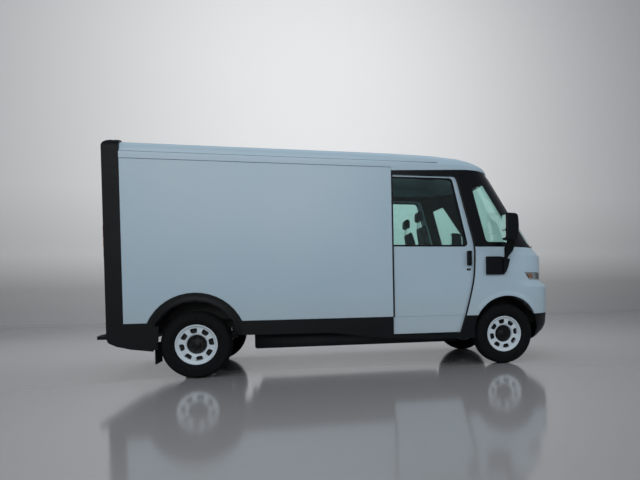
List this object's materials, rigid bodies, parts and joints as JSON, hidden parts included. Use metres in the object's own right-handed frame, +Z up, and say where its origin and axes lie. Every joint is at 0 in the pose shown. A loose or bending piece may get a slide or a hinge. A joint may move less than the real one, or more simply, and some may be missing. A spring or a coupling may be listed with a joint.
{
  "type": "mail delivery truck",
  "caption": "Walk-in electric delivery truck with a tall box body, sliding side doors, raked glazed cab, black lower trim and paired rear doors.",
  "frame": {"origin": "on the ground, at the middle of the overall length and width", "axes": "+X forward along the truck, +Y towards its left side, +Z up"},
  "size_m": [5.846, 2.64, 2.8003],
  "materials": {
    "body_paint": "gloss",
    "wheel_paint": "satin",
    "trim_black": "matte",
    "frame_black": "gloss",
    "tyre_rubber": "matte",
    "flap_rubber": "matte",
    "window_glass": "clear",
    "lamp_lens": "clear over a bright reflector",
    "chassis_paint": "satin",
    "battery_cover": "satin",
    "drive_casting": "cast",
    "floor_paint": "satin",
    "bulkhead_paint": "satin",
    "dash_plastic": "grained",
    "seat_cloth": "woven"
  },
  "bodies": {
    "body": {"chassis_frame": "chassis_paint", "battery_case": "battery_cover", "rear_axle": "chassis_paint", "front_subframe": "chassis_paint", "drive_unit": "drive_casting", "floor_pan": "floor_paint", "cargo_wall_right": "body_paint", "cargo_wall_left": "body_paint", "roof_shell": "body_paint", "bulkhead": "bulkhead_paint", "rear_surround": "trim_black", "rear_step": "trim_black", "skirt_right": "trim_black", "skirt_left": "trim_black", "mudflap_right": "flap_rubber", "mudflap_left": "flap_rubber", "cab_frame": "frame_black", "windshield": "window_glass", "quarter_glass_right": "window_glass", "quarter_glass_left": "window_glass", "front_fascia": "body_paint", "headlamp_right": "lamp_lens", "headlamp_left": "lamp_lens", "front_bumper": "trim_black", "dashboard": "dash_plastic", "driver_seat_base": "chassis_paint", "driver_seat_cushion": "seat_cloth", "driver_seat_back": "seat_cloth", "passenger_seat_base": "chassis_paint", "passenger_seat_back": "seat_cloth", "mirror_base_right": "trim_black", "mirror_base_left": "trim_black"},
    "knuckle_right": {"knuckle_right": "chassis_paint"},
    "wheel_front_right": {"rim_front_right": "wheel_paint", "tyre_front_right": "tyre_rubber"},
    "wheel_rear_right": {"rim_rear_right": "wheel_paint", "tyre_rear_right": "tyre_rubber"},
    "side_door_right": {"side_door_right": "body_paint", "side_door_glass_right": "window_glass", "side_door_handle_right": "frame_black"},
    "rear_door_right": {"rear_door_right": "body_paint"},
    "mirror_arm_right": {"mirror_arm_right": "trim_black"},
    "knuckle_left": {"knuckle_left": "chassis_paint"},
    "wheel_front_left": {"rim_front_left": "wheel_paint", "tyre_front_left": "tyre_rubber"},
    "wheel_rear_left": {"rim_rear_left": "wheel_paint", "tyre_rear_left": "tyre_rubber"},
    "side_door_left": {"side_door_left": "body_paint", "side_door_glass_left": "window_glass", "side_door_handle_left": "frame_black"},
    "rear_door_left": {"rear_door_left": "body_paint"},
    "mirror_arm_left": {"mirror_arm_left": "trim_black"},
    "rear_door_handle": {"rear_door_handle": "frame_black"},
    "steering_wheel": {"steering_wheel": "dash_plastic"},
    "bulkhead_door": {"bulkhead_door": "bulkhead_paint"},
    "brake_pedal": {"brake_pedal": "chassis_paint"},
    "accelerator_pedal": {"accelerator_pedal": "chassis_paint"},
    "passenger_cushion": {"passenger_seat_cushion": "seat_cloth"},
    "wiper_right": {"wiper_right": "flap_rubber"},
    "wiper_left": {"wiper_left": "flap_rubber"}
  },
  "joints": [
    {"name": "front_right_steer", "type": "hinge", "parent": "body", "child": "knuckle_right", "pos_m": [2.036, -0.82, 0.3995], "axis": [0, 0, 1], "range_deg": [-32, 32]},
    {"name": "wheel_front_right_roll", "type": "hinge", "parent": "knuckle_right", "child": "wheel_front_right", "pos_m": [2.036, -0.925, 0.3995], "axis": [0, 1, 0], "continuous": true},
    {"name": "wheel_rear_right_roll", "type": "hinge", "parent": "body", "child": "wheel_rear_right", "pos_m": [-1.85, -0.925, 0.3995], "axis": [0, 1, 0], "continuous": true},
    {"name": "side_door_right_slide", "type": "slide", "parent": "body", "child": "side_door_right", "axis": [-1, 0, 0], "range_m": [0, 0.96]},
    {"name": "rear_door_right_hinge", "type": "hinge", "parent": "body", "child": "rear_door_right", "pos_m": [-2.8153, -0.912, 1.65], "axis": [0, 0, 1], "range_deg": [0, 165]},
    {"name": "mirror_right_fold", "type": "hinge", "parent": "body", "child": "mirror_arm_right", "pos_m": [2.026, -1.105, 1.33], "axis": [0, 0, -1], "range_deg": [0, 70]},
    {"name": "front_left_steer", "type": "hinge", "parent": "body", "child": "knuckle_left", "pos_m": [2.036, 0.82, 0.3995], "axis": [0, 0, 1], "range_deg": [-32, 32]},
    {"name": "wheel_front_left_roll", "type": "hinge", "parent": "knuckle_left", "child": "wheel_front_left", "pos_m": [2.036, 0.925, 0.3995], "axis": [0, 1, 0], "continuous": true},
    {"name": "wheel_rear_left_roll", "type": "hinge", "parent": "body", "child": "wheel_rear_left", "pos_m": [-1.85, 0.925, 0.3995], "axis": [0, 1, 0], "continuous": true},
    {"name": "side_door_left_slide", "type": "slide", "parent": "body", "child": "side_door_left", "axis": [-1, 0, 0], "range_m": [0, 0.96]},
    {"name": "rear_door_left_hinge", "type": "hinge", "parent": "body", "child": "rear_door_left", "pos_m": [-2.8153, 0.912, 1.65], "axis": [0, 0, -1], "range_deg": [0, 165]},
    {"name": "mirror_left_fold", "type": "hinge", "parent": "body", "child": "mirror_arm_left", "pos_m": [2.026, 1.105, 1.33], "axis": [0, 0, 1], "range_deg": [0, 70]},
    {"name": "rear_door_handle_turn", "type": "hinge", "parent": "rear_door_right", "child": "rear_door_handle", "pos_m": [-2.8245, -0.1, 1.2], "axis": [1, 0, 0], "range_deg": [0, 90]},
    {"name": "steering_wheel_turn", "type": "hinge", "parent": "body", "child": "steering_wheel", "pos_m": [1.616, 0.45, 1.55], "axis": [-0.8, 0, 0.6], "range_deg": [-480, 480]},
    {"name": "bulkhead_door_slide", "type": "slide", "parent": "body", "child": "bulkhead_door", "axis": [0, 1, 0], "range_m": [0, 0.55]},
    {"name": "brake_pedal_press", "type": "hinge", "parent": "body", "child": "brake_pedal", "pos_m": [1.976, 0.35, 1.0897], "axis": [0, -1, 0], "range_deg": [0, 15], "stiffness_Nm_per_rad": 20},
    {"name": "accelerator_pedal_press", "type": "hinge", "parent": "body", "child": "accelerator_pedal", "pos_m": [1.976, 0.49, 1.0897], "axis": [0, -1, 0], "range_deg": [0, 15], "stiffness_Nm_per_rad": 20},
    {"name": "passenger_cushion_fold", "type": "hinge", "parent": "body", "child": "passenger_cushion", "pos_m": [1.24, -0.45, 1.26], "axis": [0, -1, 0], "range_deg": [0, 80]},
    {"name": "wiper_right_sweep", "type": "hinge", "parent": "body", "child": "wiper_right", "pos_m": [2.70205, -0.06, 1.583], "axis": [-0.8308, 0.1059, -0.5464], "range_deg": [0, 80]},
    {"name": "wiper_left_sweep", "type": "hinge", "parent": "body", "child": "wiper_left", "pos_m": [2.64237, 0.56, 1.583], "axis": [-0.8328, -0.0957, -0.5452], "range_deg": [0, 80]}
  ],
  "couplings": [
    {"joint": "front_left_steer", "follows": "front_right_steer", "ratio": 1},
    {"joint": "steering_wheel_turn", "follows": "front_right_steer", "ratio": 15},
    {"joint": "wiper_right_sweep", "follows": "wiper_left_sweep", "ratio": 1}
  ]
}
